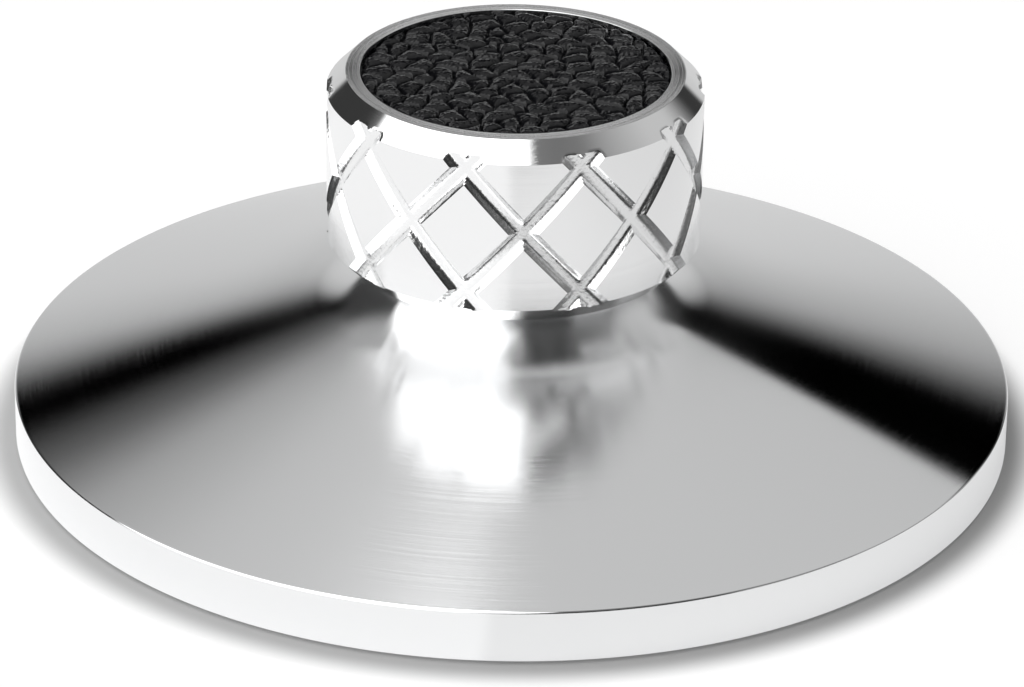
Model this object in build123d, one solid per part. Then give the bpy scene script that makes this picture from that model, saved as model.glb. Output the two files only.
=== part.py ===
from build123d import *
import os
from math import asin, cos, degrees, radians, sin, sqrt, tan

# Record clamp: a turned aluminium skirt that presses a record down at its rim, and a knob
# that draws a split collet up into a taper, so that the collet grips the turntable's spindle.
# Lengths are in millimetres. The origin is the centre of the felt ring's underside, +Z is up.

# Skirt, outside
skirt_d = 80.0
rim_h = 4.15
rim_break = 0.15
cone_angle = 16.4
neck_hollow_r = 8.0
neck_break = 0.3

# Skirt, underside
skirt_wall = 4.2
rim_land = 7.0
hub_wall = 3.2
hub_lift = 0.9
hub_break = 0.3

# Felt ring in its groove under the rim
felt_lip = 1.2
felt_w = 4.8
felt_t = 1.0
felt_proud = 0.3
felt_gap = 0.05

# Knob, outside
knob_d = 29.8
knob_h = 15.33
knob_lift = 15.33
knob_chamfer = 1.5
knob_overhang = 4.9
knob_seat_lap = 1.9

# Milled diamond pattern: equal helical grooves of each hand
groove_count = 10
groove_rise = 104.0
groove_cutter_r = 1.0
groove_cutter_sides = 12
groove_depth = 0.5
groove_depth_step = 0.01
groove_cross_h = 7.95
groove_turn = 3.0

# Leather disc in the knob's top
knob_rim_w = 1.13
leather_seat_h = 1.25
leather_t = 1.0
leather_gap = 0.12
leather_break = 0.15

# Spindle, collet and thread
spindle_bore_d = 7.3
thread_d = 12.0
thread_pitch = 1.0
thread_lap = 7.3
thread_spare = 0.5
collet_taper = 15.0
collet_taper_h = 8.0
collet_break = 0.4
slit_count = 4
slit_w = 1.2
slit_end_r = 1.0
slit_top_h = 14.0
knob_turns = 1.0

# Running clearances and small parts
run_gap = 0.05
taper_gap = 0.35
knob_mouth_gap = 0.35
washer_t = 1.0
washer_lip = 0.7
washer_gap = 0.3
key_d = 1.0
key_break = 0.12
key_tip_gap = 0.45

# Heights that follow from the sizes above
rim_z = felt_proud
hub_z = rim_z + hub_lift
knob_z = rim_z + knob_lift
knob_top_z = knob_z + knob_h
neck_top_z = knob_z + knob_seat_lap
washer_top_z = neck_top_z + washer_t
knob_ceiling_z = washer_top_z + run_gap
collet_top_z = knob_ceiling_z + thread_lap
collet_travel = thread_pitch * knob_turns
knob_bore_top_z = collet_top_z + collet_travel + thread_spare

# Radii that follow from the sizes above
skirt_r = skirt_d / 2
knob_r = knob_d / 2
neck_r = knob_r - knob_overhang
leather_seat_r = knob_r - knob_chamfer - knob_rim_w
thread_r = thread_d / 2
guide_r = thread_r + run_gap
bore_r = spindle_bore_d / 2
collet_foot_r = thread_r + collet_taper_h * tan(radians(collet_taper))
seat_gap_r = taper_gap / cos(radians(collet_taper))
hub_r = collet_foot_r + seat_gap_r + hub_wall
land_r = skirt_r - rim_land


def cone_z(radius):
    """Height of the cone's outer face at a radius."""
    return rim_z + rim_h + (skirt_r - rim_break - radius) * tan(radians(cone_angle))


def ceiling_z(radius):
    """Height of the dished underside at a radius: the cone's face less the wall's thickness."""
    return cone_z(radius) - skirt_wall / cos(radians(cone_angle))


# Hollow curve: an arc that leaves the cone in line with it and turns up beside the neck
hollow_centre_r = neck_r + neck_hollow_r
hollow_foot_r = hollow_centre_r - neck_hollow_r * sin(radians(cone_angle))
hollow_foot_z = cone_z(hollow_foot_r)
hollow_centre_z = hollow_foot_z + neck_hollow_r * cos(radians(cone_angle))


def hollow_point(height):
    """Point of the hollow curve at a height, as (radius, height)."""
    drop = hollow_centre_z - height
    return hollow_centre_r - sqrt(neck_hollow_r**2 - drop**2), height


def hollow_middle():
    """Point halfway along the hollow curve, between the cone and the neck's top."""
    start = 90 - cone_angle
    end = degrees(asin((hollow_centre_z - neck_top_z) / neck_hollow_r))
    turn = radians((start + end) / 2)
    return hollow_centre_r - neck_hollow_r * cos(turn), hollow_centre_z - neck_hollow_r * sin(turn)


neck_top_r = hollow_point(neck_top_z)[0]
knob_mouth_r = hollow_point(knob_z)[0] + knob_mouth_gap


def turned(outline):
    """Solid of revolution about Z of a closed line in the XZ plane."""
    return revolve(Plane.XZ * make_face(outline), Axis.Z)


def ring(outer_r, inner_r, low_z, high_z):
    """Plain ring about Z between two heights."""
    outline = Polyline(
        (inner_r, low_z),
        (outer_r, low_z),
        (outer_r, high_z),
        (inner_r, high_z),
        close=True,
    )
    return turned(outline)


def seat_r(height):
    """Radius of the skirt's taper seat at a height: the collet's taper and its gap."""
    foot = thread_r + (collet_taper_h - (height - hub_z)) * tan(radians(collet_taper))
    return max(foot + seat_gap_r, guide_r)


def make_skirt():
    """Turned bell: rim, cone and hollow neck outside, dished wall and hub inside."""
    seat_top_z = hub_z + collet_taper_h + (seat_gap_r - run_gap) / tan(radians(collet_taper))
    outside = Polyline(
        (land_r, rim_z),
        (skirt_r, rim_z),
        (skirt_r, rim_z + rim_h - rim_break),
        (skirt_r - rim_break, rim_z + rim_h),
        (hollow_foot_r, hollow_foot_z),
    )
    hollow = ThreePointArc((hollow_foot_r, hollow_foot_z), hollow_middle(), (neck_top_r, neck_top_z))
    inside = Polyline(
        (neck_top_r, neck_top_z),
        (guide_r + neck_break, neck_top_z),
        (guide_r, neck_top_z - neck_break),
        (guide_r, seat_top_z),
        (seat_r(hub_z), hub_z),
        (hub_r - hub_break, hub_z),
        (hub_r, hub_z + hub_break),
        (hub_r, ceiling_z(hub_r)),
        (land_r, ceiling_z(land_r)),
        (land_r, rim_z),
    )
    skirt = turned(outside + hollow + inside)
    groove_outer_r = skirt_r - felt_lip
    groove = ring(
        groove_outer_r,
        groove_outer_r - felt_w - 2 * felt_gap,
        rim_z - felt_t,
        rim_z - felt_proud + felt_t,
    )
    skirt -= groove
    return skirt - key_hole()


def key_z():
    """Height of the key pin's axis, halfway up the part of the hub that shows in the hollow."""
    return (hub_z + ceiling_z(hub_r)) / 2


def key_hole():
    """Cross hole for the key pin, through one side of the hub, seen from the hollow underside."""
    start_r = key_tip_r()
    plane = Plane(origin=(start_r, 0, key_z()), z_dir=(1, 0, 0))
    return plane * Cylinder(key_d / 2, hub_r - start_r, align=(Align.CENTER, Align.CENTER, Align.MIN))


def key_tip_r():
    """Radius that the key pin's tip reaches, inside a slit but clear of the spindle's bore."""
    return bore_r + key_tip_gap


def make_key_pin():
    """Steel dowel in the hub, standing in one slit of the collet."""
    plane = Plane(origin=(key_tip_r(), 0, key_z()), z_dir=(1, 0, 0))
    length = hub_r - key_tip_r()
    pin = plane * Cylinder(key_d / 2, length, align=(Align.CENTER, Align.CENTER, Align.MIN))
    tip = pin.edges().group_by(Axis.X)[0]
    return chamfer(tip, key_break)


def make_felt_ring():
    """Soft ring in the rim's groove, standing a little proud of it."""
    outer_r = skirt_r - felt_lip - felt_gap
    return ring(outer_r, outer_r - felt_w, rim_z - felt_proud, rim_z - felt_proud + felt_t)


def make_thrust_washer():
    """Slippery washer on the neck's top face, under the knob."""
    inner_r = thread_r + washer_gap
    return ring(neck_top_r - washer_lip, inner_r, neck_top_z, washer_top_z)


def make_collet():
    """Split sleeve: spindle bore, taper at the foot, guide and thread above, four slits."""
    outline = Polyline(
        (bore_r + collet_break, hub_z),
        (collet_foot_r - collet_break, hub_z),
        (collet_foot_r - collet_break * tan(radians(collet_taper)), hub_z + collet_break),
        (thread_r, hub_z + collet_taper_h),
        (thread_r, collet_top_z - collet_break),
        (thread_r - collet_break, collet_top_z),
        (bore_r + collet_break, collet_top_z),
        (bore_r, collet_top_z - collet_break),
        (bore_r, hub_z + collet_break),
        close=True,
    )
    collet = turned(outline)
    for index in range(slit_count):
        collet -= Rot(0, 0, index * 360 / slit_count) * collet_slit()
    return collet


def collet_slit():
    """One slit from the collet's foot, ended by a drilled cross hole."""
    reach = collet_foot_r + collet_break
    slit = Pos(reach / 2, 0, hub_z + slit_top_h / 2) * Box(reach, slit_w, slit_top_h + collet_break)
    drill = Plane(origin=(0, 0, hub_z + slit_top_h), z_dir=(1, 0, 0))
    return slit + drill * Cylinder(slit_end_r, reach, align=(Align.CENTER, Align.CENTER, Align.MIN))


def groove_cutter(left_hand):
    """Path of the ball-nosed cutter along one helix, past both ends of the knob.

    The cutter's round nose is drawn with flats. The second set is a hair shallower, so that no
    two groove floors just touch where they cross.
    """
    overrun = 2 * groove_cutter_r
    depth = groove_depth - groove_depth_step if left_hand else groove_depth
    centre_r = knob_r - depth + groove_cutter_r
    length = knob_h + 2 * overrun
    path = Helix(groove_rise, length, centre_r, lefthand=left_hand)
    nose = RegularPolygon(
        groove_cutter_r,
        groove_cutter_sides,
        major_radius=False,
        rotation=180 / groove_cutter_sides,
    )
    section = Plane(origin=path @ 0, x_dir=(1, 0, 0), z_dir=path % 0) * nose
    swept = sweep(section, path=path, is_frenet=True)
    turn_to_cross = 360 * (overrun + groove_cross_h) / groove_rise
    hand = -1 if left_hand else 1
    start_turn = groove_turn - 90 - hand * turn_to_cross
    return Pos(0, 0, knob_z - overrun) * Rot(0, 0, start_turn) * swept


def make_knob():
    """Turned knob: chamfered, hollowed over the neck, bored for the thread, then cross-milled."""
    outline = Polyline(
        (0, knob_bore_top_z),
        (guide_r, knob_bore_top_z),
        (guide_r, knob_ceiling_z + collet_break),
        (guide_r + collet_break, knob_ceiling_z),
        (knob_mouth_r, knob_ceiling_z),
        (knob_mouth_r, knob_z),
        (knob_r - knob_chamfer, knob_z),
        (knob_r, knob_z + knob_chamfer),
        (knob_r, knob_top_z - knob_chamfer),
        (knob_r - knob_chamfer, knob_top_z),
        (leather_seat_r, knob_top_z),
        (leather_seat_r, knob_top_z - leather_seat_h),
        (0, knob_top_z - leather_seat_h),
        close=True,
    )
    knob = turned(outline)
    for left_hand in (False, True):
        cutter = groove_cutter(left_hand)
        knob -= [Rot(0, 0, index * 360 / groove_count) * cutter for index in range(groove_count)]
    return knob


def make_leather_inlay():
    """Leather disc glued into the knob's top, a little below the metal edge."""
    disc_r = leather_seat_r - leather_gap
    low_z = knob_top_z - leather_seat_h
    disc = Pos(0, 0, low_z) * Cylinder(disc_r, leather_t, align=(Align.CENTER, Align.CENTER, Align.MIN))
    return chamfer(disc.edges().group_by(Axis.Z)[-1], leather_break)


pieces = {
    "skirt": make_skirt(),
    "felt_ring": make_felt_ring(),
    "key_pin": make_key_pin(),
    "thrust_washer": make_thrust_washer(),
    "knob": make_knob(),
    "leather_inlay": make_leather_inlay(),
    "collet": make_collet(),
}

os.makedirs("parts", exist_ok=True)
for name, piece in pieces.items():
    piece.label = name
    export_step(piece, f"parts/{name}.step")
    print(name, round(piece.volume, 1), "mm3")
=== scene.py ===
# %% [markdown]
# # A turned record clamp
# The clamp is two turned aluminium parts: a wide, low skirt with a hollow neck, and a knob with a
# diamond of crossed grooves and a leather disc. Their look is nearly all reflection, so this script
# makes three things with care: exact surfaces, a metal that smears reflections as turned metal
# does, and a studio with a dark strip and bright panels for the metal to show.

import bpy
import numpy as np
from mathutils import Matrix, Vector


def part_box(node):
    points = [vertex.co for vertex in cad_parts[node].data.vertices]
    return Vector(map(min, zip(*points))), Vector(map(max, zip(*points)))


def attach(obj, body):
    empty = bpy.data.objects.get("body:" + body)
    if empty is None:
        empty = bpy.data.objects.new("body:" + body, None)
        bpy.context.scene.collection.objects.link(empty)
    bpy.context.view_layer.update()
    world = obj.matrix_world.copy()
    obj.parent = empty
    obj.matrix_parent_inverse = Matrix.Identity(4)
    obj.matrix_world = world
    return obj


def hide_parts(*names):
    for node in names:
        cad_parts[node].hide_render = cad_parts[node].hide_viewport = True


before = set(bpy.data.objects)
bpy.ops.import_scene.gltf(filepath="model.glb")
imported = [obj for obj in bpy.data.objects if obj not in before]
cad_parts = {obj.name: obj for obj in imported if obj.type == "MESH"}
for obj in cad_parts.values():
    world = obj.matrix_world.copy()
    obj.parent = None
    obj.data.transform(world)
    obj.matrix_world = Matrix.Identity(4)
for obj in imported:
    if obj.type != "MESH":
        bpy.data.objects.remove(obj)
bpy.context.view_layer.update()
MM = 0.001

# %% [markdown]
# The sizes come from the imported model. A box gives a piece's reach, and the few values that no box
# holds, such as the cone's slope, are named here in millimetres, as the maker's drawing has them.

# %% Sizes in millimetres
def reach(node):
    """Radius, lowest and highest point of a CAD node's box, in millimetres."""
    low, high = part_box(node)
    return high[1] / MM, low[2] / MM, high[2] / MM


SKIRT_R, RIM_Z, NECK_TOP_Z = reach("skirt")
KNOB_R, KNOB_Z, KNOB_TOP_Z = reach("knob")
LEATHER_R, LEATHER_Z, LEATHER_TOP_Z = reach("leather_inlay")
FELT_R, FELT_Z, FELT_TOP_Z = reach("felt_ring")
WASHER_TOP_Z = reach("thrust_washer")[2]

# The hub inside the skirt ends level with the collet's foot.
HUB_Z, COLLET_TOP_Z = reach("collet")[1:]

RIM_H = 4.15
RIM_BREAK = 0.15
CONE_ANGLE = np.radians(16.4)
CONE_SLOPE = np.tan(CONE_ANGLE)
HOLLOW_R = 8.0
NECK_INSET = 4.9
NECK_R = KNOB_R - NECK_INSET
SKIRT_WALL = 4.2
LAND_W = 7.0
LAND_R = SKIRT_R - LAND_W

THREAD_R = 6.0
GUIDE_R = 6.05
TAPER_ANGLE = np.radians(15.0)
TAPER_SLOPE = np.tan(TAPER_ANGLE)
TAPER_H = 8.0
COLLET_PLAY = 0.35
SEAT_GAP = COLLET_PLAY / np.cos(TAPER_ANGLE)
HUB_WALL = 3.2
HUB_R = THREAD_R + TAPER_H * TAPER_SLOPE + SEAT_GAP + HUB_WALL
HUB_CHAMFER = 0.3
FELT_W = 4.8
FELT_GAP = 0.05

CHAMFER = 1.5
LEATHER_GAP = 0.12
SEAT_R = LEATHER_R + LEATHER_GAP
BORE_SPARE = 1.5
BORE_TOP_Z = COLLET_TOP_Z + BORE_SPARE

print("skirt radius", round(SKIRT_R, 2), "knob radius", round(KNOB_R, 2), "seat radius", round(SEAT_R, 2))

# %% [markdown]
# ## Camera
# The photograph looks down on the clamp from about 26 degrees with a long lens. Blender's own
# constraints could aim the camera, but its axes are written out here, because they also hold the
# photograph's slight tilt, a turn of under one degree about the line of sight.

# %% Camera
CAMERA_PLACE = (0.0, -0.3861, 0.1975)
CAMERA_DOWN = 0.4584
CAMERA_ROLL = 0.0138
CAMERA_LENS = 187.84
FILM_WIDTH = 36.0
CAMERA_NEAREST = 0.01


def stand_camera():
    """Camera whose axes are sideways, up and back, turned down and then rolled a little."""
    back = np.array([0.0, -np.cos(CAMERA_DOWN), np.sin(CAMERA_DOWN)])
    upward = np.array([0.0, np.sin(CAMERA_DOWN), np.cos(CAMERA_DOWN)])
    across = np.array([1.0, 0.0, 0.0])
    right = np.cos(CAMERA_ROLL) * across + np.sin(CAMERA_ROLL) * upward
    up = -np.sin(CAMERA_ROLL) * across + np.cos(CAMERA_ROLL) * upward
    camera_data = bpy.data.cameras.new("camera")
    camera_data.lens = CAMERA_LENS
    camera_data.sensor_width = FILM_WIDTH
    camera_data.clip_start = CAMERA_NEAREST
    camera = bpy.data.objects.new("camera", camera_data)
    bpy.context.collection.objects.link(camera)
    axes = np.eye(4)
    axes[:3, :3] = np.stack([right, up, back], axis=1)
    axes[:3, 3] = CAMERA_PLACE
    camera.matrix_world = Matrix(axes.tolist())
    bpy.context.scene.camera = camera
    return camera


camera = stand_camera()
bpy.context.scene.view_settings.view_transform = "Standard"
print("camera at", [round(value, 4) for value in camera.matrix_world.translation])

# %% [markdown]
# ## Shader helpers
# A material is a small graph. Written out node by node it is long and hard to follow, so these
# helpers place a node, set its sockets and link others into it in one call, and each finish below
# reads as a recipe.

# %% Nodes and materials
def add_node(tree, kind, settings=None, **sockets):
    """Node of that kind. settings are its properties; sockets are values or outputs to link.

    A socket goes by its name, with _ for a space, or by its number as i0, i1 and so on.
    """
    node = tree.nodes.new("ShaderNode" + kind)
    for name, value in (settings or {}).items():
        setattr(node, name, value)
    for name, value in sockets.items():
        key = int(name[1:]) if name[0] == "i" and name[1:].isdigit() else name.replace("_", " ")
        socket = node.inputs[key]
        if isinstance(value, bpy.types.NodeSocket):
            tree.links.new(value, socket)
        else:
            socket.default_value = value
    return node


def new_material(name):
    """Empty node material, its tree and its output node."""
    material = bpy.data.materials.new(name)
    material.use_nodes = True
    tree = material.node_tree
    tree.nodes.clear()
    return material, tree, add_node(tree, "OutputMaterial")


def grey(level):
    """Colour with the same level in red, green and blue."""
    return (level, level, level, 1.0)


print("node helpers ready")


# %% Sums on numbers
def maths(tree, operation, first, second=0.0, clamp=False):
    """Output of a Math node."""
    settings = {"operation": operation, "use_clamp": clamp}
    return add_node(tree, "Math", settings, i0=first, i1=second).outputs[0]


def product(tree, first, second):
    """first times second."""
    return maths(tree, "MULTIPLY", first, second)


def plus_share(tree, base, value, share):
    """base plus value times share."""
    return maths(tree, "ADD", base, product(tree, value, share))


def inverse(tree, value):
    """1 less value."""
    return maths(tree, "SUBTRACT", 1.0, value)


def smooth_step(tree, value, low, high):
    """0 below low, 1 above high, and an S-shaped rise between."""
    settings = {"interpolation_type": "SMOOTHSTEP"}
    step = add_node(tree, "MapRange", settings, Value=value, From_Min=low, From_Max=high)
    return step.outputs["Result"]


def window(tree, value, limits):
    """1 between two soft edges: limits are where the rise starts and ends, then the fall."""
    rising = smooth_step(tree, value, *limits[:2])
    falling = inverse(tree, smooth_step(tree, value, *limits[2:]))
    return product(tree, rising, falling)


def blended(tree, factor, first, second):
    """first where factor is 0, second where it is 1, for plain numbers."""
    settings = {"data_type": "FLOAT"}
    return add_node(tree, "Mix", settings, i0=factor, i2=first, i3=second).outputs[0]


print("sum helpers ready")

# %% [markdown]
# ## Studio
# Polished metal shows its surroundings. Lamps and boards could stand round the clamp, but each
# reflection would then need a trial of its place and size. So the studio is drawn as a sky: grey
# levels by direction, where one number moves or dims a reflection. Behind the clamp stands a low
# pale backdrop, above it a dark strip, then a pale ceiling. A large white panel hangs round the
# left, a brighter one overhead, and the right has a grey wall with darker and lighter patches. The
# camera itself sees plain white.
#
# All directions are in degrees. The azimuth is 0 straight behind the clamp and grows to the right,
# to 180 and then on from -180. round_right is the same angle, counted on from 180 to 360.

# %% Back wall
BACK_LEFT_LEVELS = (
    (-10, 0.68), (10, 0.6), (17, 0.46), (20, 0.24), (23, 0.0), (28, 0.0), (34, 0.13), (40, 0.37),
    (50, 0.55), (90, 0.8),
)
BACK_RIGHT_LEVELS = (
    (-10, 0.66), (5, 0.62), (17, 0.38), (20, 0.2), (24, 0.0), (34, 0.0), (35.4, 0.55), (90, 0.62),
)
BACK_MIDDLE = (-10.0, 8.0)
BACK_ENDS = (31.0, 36.0)
BACK_ENDS_TOP = (30.0, 37.0)
BACK_ENDS_LEVEL = 0.04


def level_ramp(tree, angle, levels):
    """Grey level by an angle in degrees, straight between the listed ones."""
    low, high = levels[0][0], levels[-1][0]
    factor = add_node(tree, "MapRange", Value=angle, From_Min=low, From_Max=high).outputs["Result"]
    ramp = add_node(tree, "ValToRGB", Fac=factor)
    stops = ramp.color_ramp.elements
    while len(stops) < len(levels):
        stops.new(0.5)
    for stop, (place, level) in zip(stops, levels):
        stop.position = (place - low) / (high - low)
        stop.color = grey(level)
    return ramp.outputs["Color"]


def back_wall(tree, elevation, azimuth):
    """Levels by height, one list left and one right of the middle, with dark low ends."""
    left = level_ramp(tree, elevation, BACK_LEFT_LEVELS)
    right = level_ramp(tree, elevation, BACK_RIGHT_LEVELS)
    light = blended(tree, smooth_step(tree, azimuth, *BACK_MIDDLE), left, right)
    aside = smooth_step(tree, maths(tree, "ABSOLUTE", azimuth), *BACK_ENDS)
    low = inverse(tree, smooth_step(tree, elevation, *BACK_ENDS_TOP))
    return blended(tree, product(tree, aside, low), light, BACK_ENDS_LEVEL)


print("back wall:", len(BACK_LEFT_LEVELS), "levels left,", len(BACK_RIGHT_LEVELS), "right")

# %% Right side
RIGHT_WALL_LEVELS = ((40, 0.57), (75, 0.56), (100, 0.36), (118, 0.19), (140, 0.17), (190, 0.26))
RIGHT_WALL = (42.0, 62.0, 200.0, 201.0)

# Each patch has its limits round the clamp, its limits of elevation and its level.
RIGHT_PATCHES = {
    "skirting": ((56.0, 60.0, 92.0, 98.0), (-20.0, -19.0, 16.0, 26.0), 0.18),
    "table": ((94.0, 100.0, 128.0, 134.0), (-20.0, -19.0, 12.0, 18.0), 0.5),
    "corner": ((90.0, 96.0, 128.0, 134.0), (12.0, 18.0, 32.0, 40.0), 0.1),
    "front": ((128.0, 134.0, 171.0, 173.0), (-20.0, -19.0, 34.0, 44.0), 0.03),
}


def right_side(tree, light, elevation, round_right):
    """Grey wall over light, and each patch over the wall."""
    wall = level_ramp(tree, round_right, RIGHT_WALL_LEVELS)
    light = blended(tree, window(tree, round_right, RIGHT_WALL), light, wall)
    for limits_round, limits_up, level in RIGHT_PATCHES.values():
        sideways = window(tree, round_right, limits_round)
        upwards = window(tree, elevation, limits_up)
        light = blended(tree, product(tree, sideways, upwards), light, level)
    return light


print("right side:", ", ".join(RIGHT_PATCHES))

# %% White panels
PANEL_LEVEL = 1.7
PANEL_EDGE = (190.2, 191.4)
PANEL_EDGE_LEAN = 0.42
PANEL_END = (262.0, 268.0)
PANEL_END_LEAN = -0.6
OVERHEAD_LEVEL = 2.6
OVERHEAD_FROM = (61.0, 70.0)
OVERHEAD_EDGE = (-8.0, -2.0)


def white_panels(tree, light, elevation, azimuth, round_right):
    """Panel round the left, whose two ends lean, and a brighter one high up on the left."""
    edge = plus_share(tree, round_right, elevation, PANEL_EDGE_LEAN)
    end = plus_share(tree, round_right, elevation, PANEL_END_LEAN)
    past_edge = smooth_step(tree, edge, *PANEL_EDGE)
    before_end = inverse(tree, smooth_step(tree, end, *PANEL_END))
    light = blended(tree, product(tree, past_edge, before_end), light, PANEL_LEVEL)
    high = smooth_step(tree, elevation, *OVERHEAD_FROM)
    on_left = inverse(tree, smooth_step(tree, azimuth, *OVERHEAD_EDGE))
    return blended(tree, product(tree, high, on_left), light, OVERHEAD_LEVEL)


print("panel levels:", PANEL_LEVEL, OVERHEAD_LEVEL)


# %% Hang the studio
def hang_studio():
    """World whose light depends on direction, and which the camera sees as plain white."""
    world = bpy.data.worlds.new("studio")
    bpy.context.scene.world = world
    world.use_nodes = True
    tree = world.node_tree
    tree.nodes.clear()
    direction = add_node(tree, "TexCoord").outputs["Generated"]
    x, y, z = add_node(tree, "SeparateXYZ", Vector=direction).outputs
    elevation = maths(tree, "DEGREES", maths(tree, "ARCSINE", z))
    azimuth = maths(tree, "DEGREES", maths(tree, "ARCTAN2", x, y))
    round_right = maths(tree, "FLOORED_MODULO", azimuth, 360.0)
    light = back_wall(tree, elevation, azimuth)
    light = right_side(tree, light, elevation, round_right)
    light = white_panels(tree, light, elevation, azimuth, round_right)

    seen = add_node(tree, "LightPath").outputs["Is Camera Ray"]
    studio = add_node(tree, "Background", Color=light, Strength=1.0)
    white = add_node(tree, "Background", Color=grey(1.0), Strength=1.0)
    both = add_node(tree, "MixShader", i0=seen, i1=studio.outputs[0], i2=white.outputs[0])
    output = add_node(tree, "OutputWorld")
    tree.links.new(both.outputs[0], output.inputs["Surface"])
    return world


print("world:", hang_studio().name)

# %% [markdown]
# ## Floor
# The floor is white paper with the clamp's soft shadow on it. More light would make it white and
# burn out the metal too. So its diffuse part catches the shadow, and a little light of its own,
# seen by the camera and by the metal, lifts the open floor to plain white. Close to the rim the
# camera sees no lift, which paints a darker ring of shadow round the rim on top of its real one.
#
# In the metal the paper is darker on the right, a painted shade, and nearly black there past the
# table's near edge, and behind the clamp it gives way to the grey backdrop.

# %% White paper
FLOOR_GREY = 0.46
FLOOR_LIFT = 0.61
# Painted shadow: the camera's lift comes in only between these distances from the axis, so a ring round
# the rim stays darker than its real shadow leaves it.
PAINTED_SHADOW_REACH = (0.0405, 0.0438)


def lifted_paper(tree, here, path):
    """Diffuse paper plus light of its own, all over in metal, and for the camera on open floor only,
    which paints shadow near the rim.
    """
    paper = add_node(tree, "BsdfDiffuse", Color=grey(FLOOR_GREY))
    from_axis = add_node(tree, "VectorMath", {"operation": "LENGTH"}, i0=here).outputs["Value"]
    # Painted shadow: close to the rim the camera sees no lift.
    seen = product(tree, path["Is Camera Ray"], smooth_step(tree, from_axis, *PAINTED_SHADOW_REACH))
    for ray in ("Is Glossy Ray", "Is Transmission Ray"):
        seen = maths(tree, "MAXIMUM", seen, path[ray])
    glow = add_node(tree, "Emission", Color=grey(1.0), Strength=product(tree, seen, FLOOR_LIFT))
    return add_node(tree, "AddShader", i0=paper.outputs[0], i1=glow.outputs[0])


print("paper level:", FLOOR_GREY, "lifted by", FLOOR_LIFT)

# %% Paper in the metal
# Painted shade seen in the metal: the paper darkens in steps towards the right.
RIGHT_HALF_X = (-0.003, -0.001)
RIGHT_HALF_PAINTED_SHADE = 0.10
FAR_RIGHT_X = (0.02, 0.08)
FAR_RIGHT_PAINTED_SHADE = 0.12
TABLE_EDGE_X = (-0.01, 0.0)
TABLE_EDGE_Y = (-0.105, -0.083)
PAST_EDGE_DIM = 0.93
EVEN_DIM = 0.04
BACKDROP_GREY = 0.66
BACKDROP_Y = (0.045, 0.09)


def dimming(tree, x, y):
    """Share of the paper's light that the metal misses: painted shade by steps to the right, and past the
    edge.
    """
    # Painted shade: the right of the paper is darker in the metal.
    half = product(tree, smooth_step(tree, x, *RIGHT_HALF_X), RIGHT_HALF_PAINTED_SHADE)
    right = plus_share(tree, half, smooth_step(tree, x, *FAR_RIGHT_X), FAR_RIGHT_PAINTED_SHADE)
    in_front = inverse(tree, smooth_step(tree, y, *TABLE_EDGE_Y))
    past_edge = product(tree, in_front, smooth_step(tree, x, *TABLE_EDGE_X))
    share = maths(tree, "MAXIMUM", right, product(tree, past_edge, PAST_EDGE_DIM))
    return maths(tree, "ADD", share, EVEN_DIM, clamp=True)


def white_paper():
    """Lifted paper for the camera; in the metal it is dimmed, with painted shade on the right, and a grey
    backdrop stands behind.
    """
    material, tree, output = new_material("white_paper")
    path = add_node(tree, "LightPath").outputs
    here = add_node(tree, "TexCoord").outputs["Object"]
    x, y, _ = add_node(tree, "SeparateXYZ", Vector=here).outputs
    in_metal = path["Is Glossy Ray"]
    paper = lifted_paper(tree, here, path)
    unlit = add_node(tree, "Emission", Color=grey(0.0))
    dimmed = product(tree, dimming(tree, x, y), in_metal)
    near = add_node(tree, "MixShader", i0=dimmed, i1=paper.outputs[0], i2=unlit.outputs[0])
    backdrop = add_node(tree, "Emission", Color=grey(BACKDROP_GREY), Strength=1.0)
    behind = product(tree, smooth_step(tree, y, *BACKDROP_Y), in_metal)
    both = add_node(tree, "MixShader", i0=behind, i1=near.outputs[0], i2=backdrop.outputs[0])
    tree.links.new(both.outputs[0], output.inputs["Surface"])
    return material


print("backdrop level:", BACKDROP_GREY)

# %% Floor
FLOOR_HALF = 4.0


def lay_floor():
    """Square of paper under the clamp."""
    corners = np.array([(-1, -1, 0), (1, -1, 0), (1, 1, 0), (-1, 1, 0)]) * FLOOR_HALF
    mesh = bpy.data.meshes.new("floor")
    mesh.from_pydata(corners, [], [(0, 1, 2, 3)])
    mesh.materials.append(white_paper())
    floor = bpy.data.objects.new("floor", mesh)
    bpy.context.collection.objects.link(floor)
    return floor


print("floor laid:", lay_floor().name)

# %% [markdown]
# ## Turned and milled aluminium
# A lathe tool leaves fine rings. They smear a reflection across themselves, towards and away from
# the axis, and keep it sharp along themselves. Modelled rings would take millions of faces, so the
# shader does this with anisotropy, which needs a direction on the surface: each piece below has a
# UV map whose first axis runs along its outline, and the tangent follows it. Noise along that same
# axis makes the few rings that the eye can see.

# %% Rings round the axis
OUTLINE_MAP = "outline"


def outline_tangent(tree):
    """Tangent that runs along a piece's outline, across the tool's rings."""
    settings = {"direction_type": "UV_MAP", "uv_map": OUTLINE_MAP}
    return add_node(tree, "Tangent", settings).outputs["Tangent"]


def ring_noise(tree, per_mm):
    """Noise that changes along the outline only, so that it draws rings round the axis."""
    along = add_node(tree, "UVMap", {"uv_map": OUTLINE_MAP}).outputs["UV"]
    parts = add_node(tree, "SeparateXYZ", Vector=along)
    rings = add_node(tree, "CombineXYZ", X=parts.outputs[0])
    noise = add_node(tree, "TexNoise", Vector=rings.outputs[0], Scale=per_mm, Detail=2.0)
    return noise.outputs["Fac"]


def surface_mask(tree, name):
    """Share of a finish at each place, from the piece's own attribute of that name."""
    return add_node(tree, "Attribute", {"attribute_name": name}).outputs["Fac"]


print("UV map for the rings:", OUTLINE_MAP)

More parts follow.
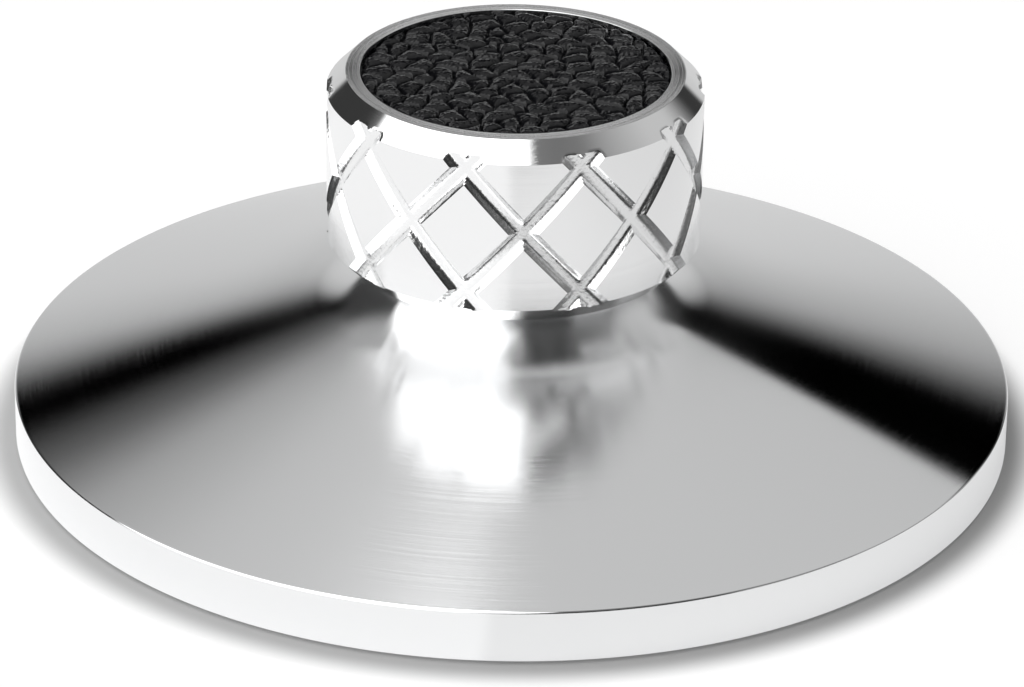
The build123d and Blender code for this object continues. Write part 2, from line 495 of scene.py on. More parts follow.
# %% Turned aluminium
TURNED_ROUGHNESS = 0.08
GLOSS_RINGS_PER_MM = 0.8
GLOSS_CHANGE = 0.01
TOOL_RINGS_PER_MM = 45.0
TOOL_RING_DEPTH = 0.0024
HOLLOW_ROUGHNESS = 0.08
FACED_RING_DEPTH = 0.023
FACED_ROUGHNESS = 0.02
MILLED_ROUGHNESS = 0.06
CHATTER_PER_MM = 3.4
CHATTER_DEPTH = 0.03


def turned_aluminium(name, colour, masks):
    """Bright turned aluminium: anisotropic metal whose tool rings spread its reflections.

    masks name the piece's attributes: "hollow" for a curve that the tool left duller, "faced" for
    a coarser facing cut, and "milled" for the grooves, with the cutter's chatter marks.
    """
    material, tree, output = new_material(name)
    change = maths(tree, "SUBTRACT", ring_noise(tree, GLOSS_RINGS_PER_MM), 0.5)
    roughness = plus_share(tree, TURNED_ROUGHNESS, change, GLOSS_CHANGE)
    ring_depth = TOOL_RING_DEPTH
    if "hollow" in masks:
        hollow = surface_mask(tree, "hollow")
        roughness = plus_share(tree, roughness, hollow, HOLLOW_ROUGHNESS)
    if "faced" in masks:
        faced = surface_mask(tree, "faced")
        roughness = plus_share(tree, roughness, faced, FACED_ROUGHNESS)
        ring_depth = blended(tree, faced, TOOL_RING_DEPTH, FACED_RING_DEPTH)
    height = product(tree, ring_noise(tree, TOOL_RINGS_PER_MM), ring_depth)
    if "milled" in masks:
        milled = surface_mask(tree, "milled")
        roughness = plus_share(tree, roughness, milled, MILLED_ROUGHNESS)
        place = add_node(tree, "TexCoord").outputs["Object"]
        scale = CHATTER_PER_MM / MM
        chatter = add_node(tree, "TexNoise", Vector=place, Scale=scale, Detail=3.0).outputs["Fac"]
        height = plus_share(tree, height, product(tree, chatter, milled), CHATTER_DEPTH)
    bump = add_node(tree, "Bump", Height=height, Strength=1.0, Distance=MM)
    metal = add_node(
        tree,
        "BsdfPrincipled",
        Base_Color=(*colour, 1.0),
        Metallic=1.0,
        Roughness=roughness,
        Anisotropic=1.0,
        Normal=bump.outputs[0],
        Tangent=outline_tangent(tree),
    )
    tree.links.new(metal.outputs[0], output.inputs["Surface"])
    return material


skirt_finish = turned_aluminium("skirt_turned_aluminium", (0.90, 0.905, 0.91), ("hollow",))
knob_finish = turned_aluminium("knob_aluminium", (0.91, 0.912, 0.915), ("faced", "milled"))
print("finishes:", skirt_finish.name, knob_finish.name)

# %% [markdown]
# ## Surfaces from numbers
# The round pieces could come from a Spin or a Screw modifier, but the knob's grooves need rows
# that are half a step out of line with their neighbours. So a piece is a stack of rings: each row
# of the grid is a closed ring of points at one place along the outline. Faces, UVs and points are
# all worked out as whole arrays.

# %% Faces between rings
def ring_faces(row, shift_low, shift_high, columns):
    """Triangles between a row and the next, with a (row, column) pair for each corner.

    A row with shift 1 sits half a step on. Where one of the two rows is shifted, each cell between
    them is cut in two along its short diagonal, which is a line of the knob's net.
    """
    k = np.arange(columns)
    low, high = row, row + 1
    if shift_low == 0 and shift_high == 1:
        first = [(low, k), (low, k + 1), (high, k)]
        second = [(low, k + 1), (high, k + 1), (high, k)]
    else:
        first = [(low, k), (low, k + 1), (high, k + 1)]
        second = [(low, k), (high, k + 1), (high, k)]
    both = []
    for corners in (first, second):
        rows = np.stack([np.full(columns, r) for r, _ in corners], axis=1)
        cols = np.stack([c for _, c in corners], axis=1)
        both.append(np.stack([rows, cols], axis=2))
    return np.concatenate(both)


def fan_ends(points, triangles, corner_uv, along, columns):
    """Closes the first and the last ring with a fan of triangles round a point on the axis."""
    k = np.arange(columns)
    after = (k + 1) % columns
    base = len(points) - columns
    first, last = len(points), len(points) + 1
    first_fan = np.stack([np.full(columns, first), after, k], axis=1)
    last_fan = np.stack([base + k, base + after, np.full(columns, last)], axis=1)
    v = np.stack([k, k + 1.0, k + 0.5], axis=1) * 2 * np.pi / columns * KNOB_R
    first_u = np.broadcast_to(along[0] + np.array([-1.0, 0.0, 0.0]), v.shape)
    last_u = np.broadcast_to(along[-1] + np.array([0.0, 0.0, 1.0]), v.shape)
    fan_uv = [np.stack([first_u, v[:, ::-1]], axis=2), np.stack([last_u, v], axis=2)]
    ends = np.array([[0, 0, points[0, 2]], [0, 0, points[-1, 2]]])
    return (
        np.concatenate([points, ends]),
        np.concatenate([triangles, first_fan, last_fan]),
        np.concatenate([corner_uv, *fan_uv]),
    )


def stack_rings(radii, heights, along, shifts, turn_degrees, poles):
    """Points, triangles and corner UVs of a stack of rings.

    radii is rows by columns, heights and along have one value a row, shifts is 0 or 1 a row.
    A point is (radius cos t, radius sin t, height), with t the column's share of a full turn.
    Its UV is the distance along the outline and the way round at the knob's radius.
    poles says whether the first and last rows close on the axis, or on each other.
    """
    rows, columns = radii.shape
    step = 2 * np.pi / columns
    angle = (np.arange(columns)[None, :] + shifts[:, None] / 2) * step + np.radians(turn_degrees)
    z = np.broadcast_to(heights[:, None], radii.shape)
    points = np.stack([radii * np.cos(angle), radii * np.sin(angle), z], axis=2).reshape(-1, 3)
    bands = [ring_faces(i, shifts[i], shifts[i + 1], columns) for i in range(rows - 1)]
    if not poles:
        bands.append(ring_faces(rows - 1, shifts[-1], shifts[0], columns))
    faces = np.concatenate(bands)
    row = faces[:, :, 0]
    column = faces[:, :, 1]
    wrapped = row % rows
    triangles = wrapped * columns + column % columns
    u = np.append(along, along[-1] + 1.0)[row]
    v = (column + shifts[wrapped] / 2) * step * KNOB_R
    corner_uv = np.stack([u, v], axis=2)
    if poles:
        return fan_ends(points, triangles, corner_uv, along, columns)
    return points, triangles, corner_uv


print("ring helpers ready")


# %% Outlines and pieces
def run_along(radii, heights):
    """Distance along an outline from its first point to each point."""
    steps = np.hypot(np.diff(radii), np.diff(heights))
    return np.concatenate([[0.0], np.cumsum(steps)])


def all_round(outline, columns):
    """Radii of an outline's points, the same in every column."""
    return np.repeat(outline[:, :1], columns, axis=1)


EDGE_POINTS = 4
GUARD_SHARE = 1.6


def broken_edge(before, corner, after, width):
    """Small rounded edge at an outline's corner, with a guard point on each side of it.

    The curve is the quadratic one from a point on the first side, bent by the corner, to the
    second side. The guards keep the flat faces flat up to the edge.
    """
    before, corner, after = (np.array(p, dtype=float) for p in (before, corner, after))
    to_before = (before - corner) / np.linalg.norm(before - corner) * width
    to_after = (after - corner) / np.linalg.norm(after - corner) * width
    t = np.linspace(0, 1, EDGE_POINTS)[:, None]
    start = corner + to_before
    end = corner + to_after
    curve = (1 - t) ** 2 * start + 2 * t * (1 - t) * corner + t**2 * end
    return np.vstack([corner + to_before * GUARD_SHARE, curve, corner + to_after * GUARD_SHARE])


def line(start, end, steps):
    """Points between two outline corners, both left out."""
    t = np.linspace(0, 1, steps + 1)[1:-1, None]
    return np.array(start) + (np.array(end) - np.array(start)) * t


def build_piece(name, points, triangles, corner_uv, finish, sharp_degrees):
    """Object from points in mm, triangles and one UV per triangle corner, shaded smooth."""
    mesh = bpy.data.meshes.new(name)
    mesh.from_pydata((points * MM).tolist(), [], triangles.tolist())
    layer = mesh.uv_layers.new(name=OUTLINE_MAP)
    layer.data.foreach_set("uv", corner_uv.reshape(-1).astype(np.float32))
    mesh.shade_smooth()
    mesh.set_sharp_from_angle(angle=np.radians(sharp_degrees))
    mesh.materials.append(finish)
    piece = bpy.data.objects.new(name, mesh)
    bpy.context.collection.objects.link(piece)
    print(name, "has", len(triangles), "triangles")
    return piece


def write_mask(piece, name, values):
    """Stores a number from 0 to 1 at each point of a piece, for its finish to read."""
    mask = piece.data.attributes.new(name, "FLOAT", "POINT")
    mask.data.foreach_set("value", values.astype(np.float32))


print("a broken edge has", EDGE_POINTS + 2, "points")

# %% [markdown]
# ## Skirt
# The skirt is a shallow cone of 16 degrees that turns up through a hollow of 8 mm radius into the
# neck, with a thin upright rim outside and a dished underside. The CAD solid has the same shape in
# larger flats, which a mirror finish would show, so one fine outline is carried round the axis.

# %% Cone and hollow
def cone_z(radius):
    """Height of the cone's outer face: it falls by the slope from the rim's inner edge."""
    return RIM_Z + RIM_H + (SKIRT_R - RIM_BREAK - radius) * CONE_SLOPE


def ceiling_z(radius):
    """Height of the dished underside: the cone's face less the wall measured square to it."""
    return cone_z(radius) - SKIRT_WALL * np.sqrt(1 + CONE_SLOPE**2)


HOLLOW_CENTRE_R = NECK_R + HOLLOW_R
HOLLOW_FOOT_R = HOLLOW_CENTRE_R - HOLLOW_R * np.sin(CONE_ANGLE)
HOLLOW_CENTRE_Z = cone_z(HOLLOW_FOOT_R) + HOLLOW_R * np.cos(CONE_ANGLE)
HOLLOW_STEPS = 36


def hollow_curve():
    """Arc from the cone up to the neck's top: centre less radius times (cos, sin) of the turn."""
    start = np.pi / 2 - CONE_ANGLE
    end = np.arcsin((HOLLOW_CENTRE_Z - NECK_TOP_Z) / HOLLOW_R)
    turn = np.linspace(start, end, HOLLOW_STEPS)
    centre = np.array([HOLLOW_CENTRE_R, HOLLOW_CENTRE_Z])
    return centre - HOLLOW_R * np.stack([np.cos(turn), np.sin(turn)], axis=1)


print("hollow's centre, mm:", round(HOLLOW_CENTRE_R, 2), round(HOLLOW_CENTRE_Z, 2))

# %% Skirt's outline
RIM_FOOT_BREAK = 0.12
NECK_BREAK = 0.05
RIM_STEPS = 4
CONE_STEPS = 12


def skirt_outline():
    """Closed outline of the skirt, anticlockwise from the land under the rim."""
    hollow = hollow_curve()
    groove_r = FELT_R + FELT_GAP
    groove_in_r = groove_r - FELT_W - 2 * FELT_GAP
    rim_low = (SKIRT_R, RIM_Z)
    rim_high = (SKIRT_R, RIM_Z + RIM_H)
    seat_top_z = HUB_Z + TAPER_H + (SEAT_GAP - (GUIDE_R - THREAD_R)) / TAPER_SLOPE
    seat_foot_r = GUIDE_R + (seat_top_z - HUB_Z) * TAPER_SLOPE
    guide_mouth = (GUIDE_R + HUB_CHAMFER, NECK_TOP_Z)
    inside = [
        guide_mouth,
        (GUIDE_R, NECK_TOP_Z - HUB_CHAMFER),
        (GUIDE_R, seat_top_z),
        (seat_foot_r, HUB_Z),
        (HUB_R - HUB_CHAMFER, HUB_Z),
        (HUB_R, HUB_Z + HUB_CHAMFER),
        (HUB_R, ceiling_z(HUB_R)),
        (LAND_R, ceiling_z(LAND_R)),
    ]
    return np.vstack(
        [
            [(LAND_R, RIM_Z), (groove_in_r, RIM_Z), (groove_in_r, FELT_TOP_Z)],
            [(groove_r, FELT_TOP_Z), (groove_r, RIM_Z)],
            broken_edge((groove_r, RIM_Z), rim_low, rim_high, RIM_FOOT_BREAK),
            line(rim_low, rim_high, RIM_STEPS),
            broken_edge(rim_low, rim_high, hollow[0], RIM_BREAK),
            line(rim_high, hollow[0], CONE_STEPS),
            hollow[:-1],
            broken_edge(hollow[-2], hollow[-1], guide_mouth, NECK_BREAK),
            inside,
        ]
    )


print("skirt's outline has", len(skirt_outline()), "points")

# %% Skirt
SKIRT_COLUMNS = 480
SKIRT_SHARP_DEGREES = 28.0
HOLLOW_FINISH_R = 25.0
HOLLOW_FADE = 7.0


def turn_skirt():
    """Skirt as a surface of revolution of its closed outline, with its hollow's mask."""
    outline = skirt_outline()
    along = run_along(outline[:, 0], outline[:, 1])
    radii = all_round(outline, SKIRT_COLUMNS)
    no_shifts = np.zeros(len(outline), dtype=int)
    rings = stack_rings(radii, outline[:, 1], along, no_shifts, 0.0, poles=False)
    skirt = build_piece("skirt_turned", *rings, skirt_finish, SKIRT_SHARP_DEGREES)
    radius = np.hypot(rings[0][:, 0], rings[0][:, 1])
    write_mask(skirt, "hollow", np.clip((HOLLOW_FINISH_R - radius) / HOLLOW_FADE, 0, 1))
    return skirt


skirt = turn_skirt()
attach(skirt, "clamp_base")
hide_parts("skirt")

# %% [markdown]
# ## Knob
# A cutter has run along ten right-hand and ten left-hand helices and left grooves half a
# millimetre deep, with a nearly flat floor, a small fillet and straight flanks. Cut out of a plain
# cylinder with Boolean modifiers, they would have ragged edges. But both sets have the same pitch,
# so their lines cross in a diamond net, and if the mesh itself is such a net, with one of its lines
# on each groove's edge, all edges are crisp. A point's radius is the smallest of the turned
# outline's and the two cutter paths'.

# %% Knob's net
NET_COLUMNS = 480
GROOVES = 10
GROOVE_DEPTH = 0.5
GROOVE_SHARES = (1.0, 1.0, 0.985, 0.89, 0.62, 0.31, 0.0)
CROSS_H = 7.95
CROSS_Z = KNOB_Z + CROSS_H
CROSS_TURN = -87.0
LEVELS_BELOW = 60
LEVELS_ABOVE = 54
LEVELS_CHAMFER = 14


def net_heights():
    """Heights of the net's levels: even steps between the chamfer's edges and the crossings."""
    low, high = KNOB_Z + CHAMFER, KNOB_TOP_Z - CHAMFER
    return np.concatenate(
        [
            np.linspace(KNOB_Z, low, LEVELS_CHAMFER, endpoint=False),
            np.linspace(low, CROSS_Z, LEVELS_BELOW, endpoint=False),
            np.linspace(CROSS_Z, high, LEVELS_ABOVE, endpoint=False),
            np.linspace(high, KNOB_TOP_Z, LEVELS_CHAMFER + 1),
        ]
    )


def groove_radius(lines_off):
    """Radius that the cutter leaves, from the distance to the groove's middle in net lines.

    It is the knob's radius less the groove's depth times the share listed for that line. Past the
    last one, where the cutter didn't reach, it is larger than the knob's.
    """
    spacing = NET_COLUMNS // GROOVES
    edge = len(GROOVE_SHARES) - 1
    off = np.abs((lines_off + spacing / 2) % spacing - spacing / 2)
    share = np.interp(off, np.arange(edge + 1), GROOVE_SHARES)
    return np.where(off <= edge, KNOB_R - GROOVE_DEPTH * share, KNOB_R + 1)


def net_radii(heights):
    """Radius of every point of the net, its rows' shifts, and its depth under the turned outline."""
    level = np.arange(len(heights)) - LEVELS_CHAMFER - LEVELS_BELOW
    shift = level % 2
    column = np.arange(NET_COLUMNS)[None, :] + shift[:, None] / 2
    from_end = np.minimum(heights - KNOB_Z, KNOB_TOP_Z - heights)
    outline = KNOB_R - np.maximum(CHAMFER - from_end, 0)
    right_hand = groove_radius(column - level[:, None] / 2)
    left_hand = groove_radius(column + level[:, None] / 2)
    radii = np.minimum(np.minimum(right_hand, left_hand), outline[:, None])
    return radii, shift, outline[:, None] - radii


print("the net has", len(net_heights()), "levels of", NET_COLUMNS, "points")

# %% Knob's inside and top
WASHER_PLAY = 0.05
MOUTH_PLAY = 0.35
MOUTH_BREAK = 0.1
BORE_CHAMFER = 0.4
SEAT_BREAK = 0.06
TOP_R = KNOB_R - CHAMFER


def knob_inside():
    """Outline from the bore's end down to the underside, where the neck goes in."""
    ceiling = WASHER_TOP_Z + WASHER_PLAY
    drop = HOLLOW_CENTRE_Z - KNOB_Z
    mouth_r = HOLLOW_CENTRE_R - np.sqrt(HOLLOW_R**2 - drop**2) + MOUTH_PLAY
    mouth_top = (mouth_r, ceiling)
    return np.vstack(
        [
            [(GUIDE_R, BORE_TOP_Z), (GUIDE_R, ceiling + BORE_CHAMFER)],
            [(GUIDE_R + BORE_CHAMFER, ceiling), mouth_top],
            broken_edge(mouth_top, (mouth_r, KNOB_Z), (KNOB_R, KNOB_Z), MOUTH_BREAK),
        ]
    )


def knob_top():
    """Outline from the flat ring round the leather into its seat."""
    edge = (SEAT_R, KNOB_TOP_Z)
    seat = (SEAT_R, LEATHER_Z)
    return np.vstack(
        [
            [(TOP_R - SEAT_BREAK, KNOB_TOP_Z)],
            broken_edge((TOP_R, KNOB_TOP_Z), edge, seat, SEAT_BREAK),
            [seat],
        ]
    )


print("flat ring round the leather, mm:", round(TOP_R - SEAT_R, 2))

# %% Knob
KNOB_SHARP_DEGREES = 31.0
MILLED_FROM = 0.05
FACED_DROP = 0.001
FACED_INSET = 0.01


def knob_masks(knob, points, start, depth):
    """Masks of the finish: milled by the depth under the outline, faced on the flat top."""
    milled = np.zeros(len(points))
    milled[start : start + depth.size] = np.clip(depth.reshape(-1) / MILLED_FROM, 0, 1)
    write_mask(knob, "milled", milled)
    high = points[:, 2] > KNOB_TOP_Z - FACED_DROP
    within = np.hypot(points[:, 0], points[:, 1]) < TOP_R - FACED_INSET
    write_mask(knob, "faced", (high & within).astype(float))


def mill_knob():
    """Knob: the net between its chamfers, joined to plain rings inside, below and on top."""
    heights = net_heights()
    radii, shift, depth = net_radii(heights)
    inside, top = knob_inside(), knob_top()
    all_radii = np.vstack([all_round(inside, NET_COLUMNS), radii, all_round(top, NET_COLUMNS)])
    all_heights = np.concatenate([inside[:, 1], heights, top[:, 1]])
    plain_radii = np.concatenate([inside[:, 0], np.full(len(heights), KNOB_R), top[:, 0]])
    along = run_along(plain_radii, all_heights)
    shifts = np.concatenate([np.zeros(len(inside)), shift, np.zeros(len(top))]).astype(int)
    rings = stack_rings(all_radii, all_heights, along, shifts, CROSS_TURN, poles=True)
    knob = build_piece("knob_milled", *rings, knob_finish, KNOB_SHARP_DEGREES)
    knob_masks(knob, rings[0], len(inside) * NET_COLUMNS, depth)
    return knob


knob = mill_knob()
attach(knob, "turning_knob")
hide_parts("knob")

# %% [markdown]
# ## Leather disc
# The disc is pebbled leather: rounded islands of about two millimetres, parted by creases. Bump
# alone would leave the disc flat when seen from the side, so the islands are in the mesh. Points
# are scattered for them, and each place on the disc takes the distances to its two nearest ones.
# Where they are equal there is a crease, and in between the island rises.

# %% Scattered islands
def scatter(radius, spacing, jitter, seed):
    """Seed points of a staggered net over a disc, each moved by a random part of its spacings."""
    random = np.random.default_rng(seed)
    across, deep = spacing
    count = int(radius / min(spacing)) + 2
    i, j = np.meshgrid(np.arange(-count, count + 1), np.arange(-count, count + 1))
    net = np.stack([(i + 0.5 * (j % 2)) * across, j * deep], axis=2).reshape(-1, 2)
    moved = net + random.uniform(-jitter, jitter, net.shape) * spacing
    return moved[np.linalg.norm(moved, axis=1) < radius + across + deep]


def past_crease(points, seeds):
    """How much farther a point's second nearest seed is than its nearest: 0 on a crease."""
    nearest = np.full(len(points), np.inf)
    second = np.full(len(points), np.inf)
    for seed in seeds:
        distance = np.hypot(points[:, 0] - seed[0], points[:, 1] - seed[1])
        second = np.minimum(second, np.maximum(nearest, distance))
        nearest = np.minimum(nearest, distance)
    return second - nearest


def wavy(points, size, amount):
    """Points moved by a few crossed sine waves, so that straight creases bend."""
    x, y = points[:, 0] / size, points[:, 1] / size
    dx = np.sin(1.7 * y + 0.6) + 0.6 * np.sin(3.1 * y - 1.3 * x)
    dy = np.sin(1.9 * x - 1.1) + 0.6 * np.sin(2.7 * x + 1.9 * y)
    return points + amount * np.stack([dx, dy], axis=1)


def rise(value, width):
    """0 at 0, 1 from width on, with a rounded shoulder."""
    t = np.clip(value / width, 0, 1)
    return t * (2 - t)


print("grain helpers ready")

# %% Leather's grain
PEBBLE = (2.05, 1.65)
PEBBLE_JITTER = 0.4
PEBBLE_WAVES = (1.8, 0.2)
DOME_W = 1.5
DOME_SHARE = 0.55
CREASE_W = 0.36
CREASE_SHARE = 0.45
CREASE_DEPTH = 0.5
WRINKLE = (0.5, 0.36)
WRINKLE_JITTER = 0.5
WRINKLE_WAVES = (0.7, 0.08)
WRINKLE_W = 0.36
WRINKLE_DEPTH = 0.035


def grain_height(points):
    """Height of the leather's face under its highest level, in mm.

    It is a wide dome and a steep crease added for each island, and a fine net of wrinkles.
    """
    pebbles = scatter(LEATHER_R, PEBBLE, PEBBLE_JITTER, seed=11)
    from_crease = past_crease(wavy(points, *PEBBLE_WAVES), pebbles)
    dome = DOME_SHARE * rise(from_crease, DOME_W) + CREASE_SHARE * rise(from_crease, CREASE_W)
    wrinkles = scatter(LEATHER_R, WRINKLE, WRINKLE_JITTER, seed=5)
    fine = rise(past_crease(wavy(points, *WRINKLE_WAVES), wrinkles), WRINKLE_W)
    return CREASE_DEPTH * (dome - 1) + WRINKLE_DEPTH * (fine - 1)


print("islands of", PEBBLE, "mm")

# %% Black leather
PORES_PER_M = 3800.0
MOTTLE_PER_M = 2600.0
FOLDS_PER_M = 2400.0
FOLDS_SHARE = 2.0
PORE_DEPTH = 0.000013
SKIN_ROUGHNESS = 0.05
MOTTLE_ROUGHNESS = 0.14


def pebbled_leather():
    """Black leather: dark skin, semi-matt, with fine pores that the mesh doesn't carry."""
    material, tree, output = new_material("black_pebbled_leather")
    place = add_node(tree, "TexCoord").outputs["Object"]
    pores = add_node(tree, "TexVoronoi", {"feature": "SMOOTH_F1"}, Vector=place, Scale=PORES_PER_M)
    mottle = add_node(tree, "TexNoise", Vector=place, Scale=MOTTLE_PER_M, Detail=6.0).outputs["Fac"]
    folds = add_node(tree, "TexNoise", Vector=place, Scale=FOLDS_PER_M, Detail=2.0).outputs["Fac"]
    height = plus_share(tree, pores.outputs["Distance"], folds, FOLDS_SHARE)
    bump = add_node(tree, "Bump", Height=height, Strength=1.0, Distance=PORE_DEPTH)
    shade = add_node(tree, "ValToRGB", Fac=mottle)
    shade.color_ramp.elements[0].color = (0.0008, 0.0008, 0.0012, 1.0)
    shade.color_ramp.elements[1].color = (0.004, 0.004, 0.0055, 1.0)
    skin = add_node(
        tree,
        "BsdfPrincipled",
        Base_Color=shade.outputs["Color"],
        Roughness=plus_share(tree, SKIN_ROUGHNESS, mottle, MOTTLE_ROUGHNESS),
        Specular_IOR_Level=0.3,
        Normal=bump.outputs[0],
    )
    tree.links.new(skin.outputs[0], output.inputs["Surface"])
    return material


leather_finish = pebbled_leather()
print("finish:", leather_finish.name)

# %% Leather disc
LEATHER_GRID = 290
LEATHER_EDGE = 0.12
LEATHER_PROUD = 0.17
EDGE_FALL = 0.08
EDGE_FALL_W = 0.5
LEATHER_SHARP_DEGREES = 60.0


def leather_face():
    """Points of the disc's face, from a square grid of u and v.

    x = u sqrt(1 - v^2 / 2) and y = v sqrt(1 - u^2 / 2), times the face's radius, and the height is
    the grain's, falling a little towards the edge.
    """
    u, v = np.meshgrid(np.linspace(-1, 1, LEATHER_GRID), np.linspace(-1, 1, LEATHER_GRID))
    x = u * np.sqrt(1 - v**2 / 2)
    y = v * np.sqrt(1 - u**2 / 2)
    face_r = LEATHER_R - LEATHER_EDGE
    flat = np.stack([x, y], axis=2).reshape(-1, 2) * face_r
    fall = rise(face_r - np.linalg.norm(flat, axis=1), EDGE_FALL_W) - 1
    z = LEATHER_TOP_Z + LEATHER_PROUD + grain_height(flat) + EDGE_FALL * fall
    return np.column_stack([flat, z])


def leather_sides(top, loop):
    """Two rings round the disc, a shoulder and a foot, and the triangles down to its centre."""
    rim = top[loop]
    around = rim[:, :2] / np.linalg.norm(rim[:, :2], axis=1, keepdims=True) * LEATHER_R
    shoulder = np.column_stack([around, rim[:, 2] - LEATHER_EDGE])
    foot = np.column_stack([around, np.full(len(rim), LEATHER_Z)])
    count = len(loop)
    rings = [loop, len(top) + np.arange(count), len(top) + count + np.arange(count)]
    triangles = []
    for upper, lower in zip(rings, rings[1:]):
        after, below = np.roll(upper, -1), np.roll(lower, -1)
        triangles.append(np.stack([upper, lower, below], axis=1))
        triangles.append(np.stack([upper, below, after], axis=1))
    centre = np.full(count, len(top) + 2 * count)
    triangles.append(np.stack([rings[2], centre, np.roll(rings[2], -1)], axis=1))
    return [shoulder, foot, [[0, 0, LEATHER_Z]]], triangles


def cut_leather():
    """Disc with a grained face, an upright edge and a flat base."""
    top = leather_face()
    index = np.arange(LEATHER_GRID**2).reshape(LEATHER_GRID, LEATHER_GRID)
    a, b, c, d = index[:-1, :-1], index[:-1, 1:], index[1:, 1:], index[1:, :-1]
    quads = np.stack([a, b, c, d], axis=2).reshape(-1, 4)
    loop = np.concatenate([index[0, :-1], index[:-1, -1], index[-1, :0:-1], index[:0:-1, 0]])
    side_points, side_triangles = leather_sides(top, loop)
    points = np.concatenate([top, *side_points])
    triangles = np.concatenate([quads[:, [0, 1, 2]], quads[:, [0, 2, 3]], *side_triangles])
    corner_uv = points[triangles][:, :, :2]
    return build_piece(
        "leather_disc", points, triangles, corner_uv, leather_finish, LEATHER_SHARP_DEGREES
    )


leather = cut_leather()
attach(leather, "turning_knob")
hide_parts("leather_inlay")

# %% [markdown]
# ## Felt ring
# The ring under the rim is pressed felt, soft at its edges. A square ring would look like a washer,
# so a small rounded outline is carried round the axis, and its radius is stirred a little so that
# its edges aren't as even as a machined part's.

# %% Pressed felt
FIBRES_PER_M = 3500.0
FIBRE_DEPTH = 0.00012


def pressed_felt():
    """Dark grey felt: short matted fibres in all directions, with a soft sheen."""
    material, tree, output = new_material("grey_pressed_felt")
    place = add_node(tree, "TexCoord").outputs["Object"]
    fibres = add_node(
        tree, "TexNoise", Vector=place, Scale=FIBRES_PER_M, Detail=8.0, Distortion=1.5
    ).outputs["Fac"]
    shade = add_node(tree, "ValToRGB", Fac=fibres)
    shade.color_ramp.elements[0].color = (0.03, 0.03, 0.033, 1.0)
    shade.color_ramp.elements[1].color = (0.10, 0.10, 0.105, 1.0)
    bump = add_node(tree, "Bump", Height=fibres, Strength=0.9, Distance=FIBRE_DEPTH)
    pile = add_node(
        tree,
        "BsdfPrincipled",
        Base_Color=shade.outputs["Color"],
        Roughness=0.95,
        Sheen_Weight=0.4,
        Sheen_Roughness=0.5,
        Normal=bump.outputs[0],
    )
    tree.links.new(pile.outputs[0], output.inputs["Surface"])
    return material


felt_finish = pressed_felt()
print("finish:", felt_finish.name)

# %% Felt ring
FELT_COLUMNS = 360
FELT_ROWS = 28
FELT_POWER = 0.22
FELT_SHARP_DEGREES = 60.0
STIR = 0.03
STIR_WAVES = 23
STIR_SLANT = 3


def press_felt():
    """Ring whose outline is a rounded oblong, with its radius lessened a little by waves.

    The outline is (sign cos t |cos t|^p a, sign sin t |sin t|^p b), with a and b half its width
    and height, and a small p that squares it.
    """
    turn = np.linspace(0, 2 * np.pi, FELT_ROWS, endpoint=False)
    half_w, half_h = FELT_W / 2, (FELT_TOP_Z - FELT_Z) / 2
    across = np.sign(np.cos(turn)) * np.abs(np.cos(turn)) ** FELT_POWER * half_w
    up = np.sign(np.sin(turn)) * np.abs(np.sin(turn)) ** FELT_POWER * half_h
    angle = np.linspace(0, 2 * np.pi, FELT_COLUMNS, endpoint=False)[None, :]
    waves = np.sin(STIR_WAVES * angle + STIR_SLANT * turn[:, None])
    stir = np.abs(STIR * waves * np.sin(turn)[:, None])
    radii = (FELT_R - half_w + across)[:, None] - stir
    along = run_along(across, up)
    no_shifts = np.zeros(FELT_ROWS, dtype=int)
    rings = stack_rings(radii, FELT_Z + half_h + up, along, no_shifts, 0.0, poles=False)
    return build_piece("felt_pad", *rings, felt_finish, FELT_SHARP_DEGREES)


felt = press_felt()
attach(felt, "clamp_base")
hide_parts("felt_ring")

# %% [markdown]
# ## Collet, washer and key pin
# These sit inside, where little of them shows, and their CAD shapes are right. So they stay as
# they are and only get better finishes: machined black plastic with its thread, white slippery
# plastic, and ground steel.

# %% Machined plastic
PLASTIC_RINGS_PER_M = 6000.0
PLASTIC_RING_DEPTH = 0.00003
THREAD_PITCH = 1.0
THREAD_RISE = 24.0
THREAD_START = 0.6


def thread_height(tree, x, y, z):
    """Teeth up and down once for each pitch climbed, less the share of a turn, above the washer."""
    turns = maths(tree, "DIVIDE", maths(tree, "ARCTAN2", y, x), 2 * np.pi)
    climb = maths(tree, "SUBTRACT", maths(tree, "DIVIDE", z, THREAD_PITCH * MM), turns)
    tooth = maths(tree, "PINGPONG", climb, 0.5)
    above = smooth_step(tree, z, WASHER_TOP_Z * MM, (WASHER_TOP_Z + THREAD_START) * MM)
    return product(tree, tooth, above)


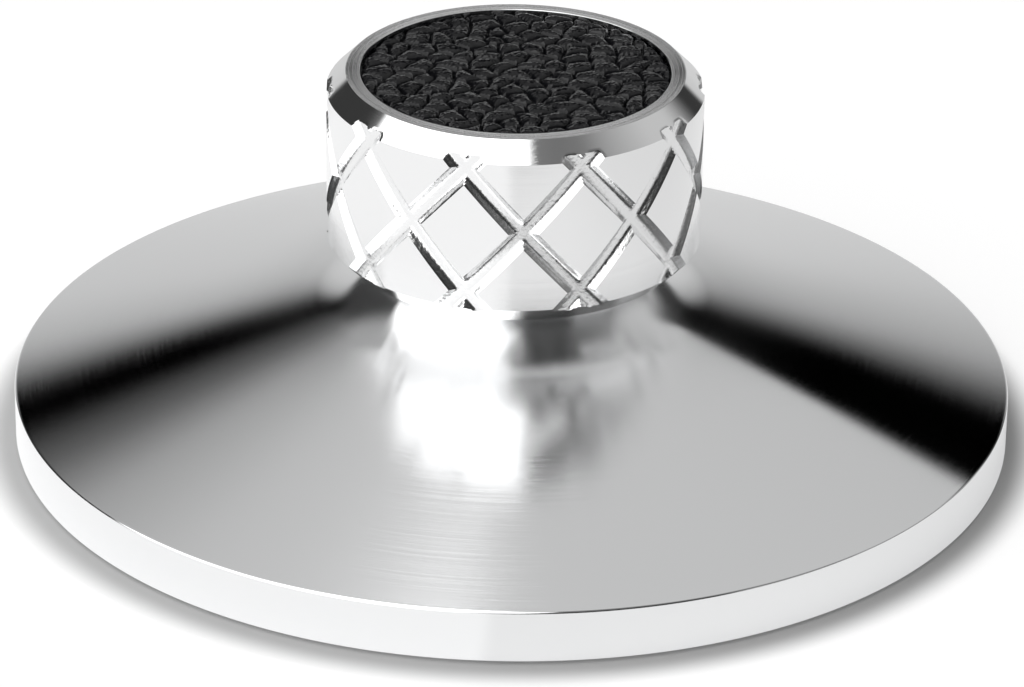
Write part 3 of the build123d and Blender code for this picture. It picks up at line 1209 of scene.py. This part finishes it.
def machined_plastic(name, colour, roughness, thread=False):
    """Turned plastic: faint rings along Z, and a thread's helix where thread is on."""
    material, tree, output = new_material(name)
    place = add_node(tree, "TexCoord").outputs["Object"]
    x, y, z = add_node(tree, "SeparateXYZ", Vector=place).outputs
    upright = add_node(tree, "CombineXYZ", Z=z).outputs[0]
    rings = add_node(tree, "TexNoise", Vector=upright, Scale=PLASTIC_RINGS_PER_M, Detail=2.0)
    height = rings.outputs["Fac"]
    if thread:
        height = plus_share(tree, height, thread_height(tree, x, y, z), THREAD_RISE)
    bump = add_node(tree, "Bump", Height=height, Strength=1.0, Distance=PLASTIC_RING_DEPTH)
    body = add_node(
        tree,
        "BsdfPrincipled",
        Base_Color=(*colour, 1.0),
        Roughness=roughness,
        Normal=bump.outputs[0],
    )
    tree.links.new(body.outputs[0], output.inputs["Surface"])
    return material


black_plastic = machined_plastic("black_machined_plastic", (0.03, 0.03, 0.03), 0.42, thread=True)
white_plastic = machined_plastic("white_slip_plastic", (0.8, 0.8, 0.78), 0.35)
print("finishes:", black_plastic.name, white_plastic.name)

# %% Ground steel
STEEL_MARKS_PER_M = 9000.0
STEEL_MARK_DEPTH = 0.00001


def ground_steel():
    """Key pin's steel: bright and a little rough, with fine marks."""
    material, tree, output = new_material("ground_steel")
    place = add_node(tree, "TexCoord").outputs["Object"]
    marks = add_node(tree, "TexNoise", Vector=place, Scale=STEEL_MARKS_PER_M, Detail=3.0)
    height = marks.outputs["Fac"]
    bump = add_node(tree, "Bump", Height=height, Strength=0.5, Distance=STEEL_MARK_DEPTH)
    steel = add_node(
        tree,
        "BsdfPrincipled",
        Base_Color=(0.62, 0.62, 0.63, 1.0),
        Metallic=1.0,
        Roughness=0.3,
        Normal=bump.outputs[0],
    )
    tree.links.new(steel.outputs[0], output.inputs["Surface"])
    return material


key_steel = ground_steel()
print("finish:", key_steel.name)


# %% Dress the inner pieces
def dress(node, material):
    """Gives a CAD node's object one material in all its slots."""
    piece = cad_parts[node]
    piece.data.materials.clear()
    piece.data.materials.append(material)
    print(node, "dressed in", material.name)


dress("collet", black_plastic)
dress("thrust_washer", white_plastic)
dress("key_pin", key_steel)
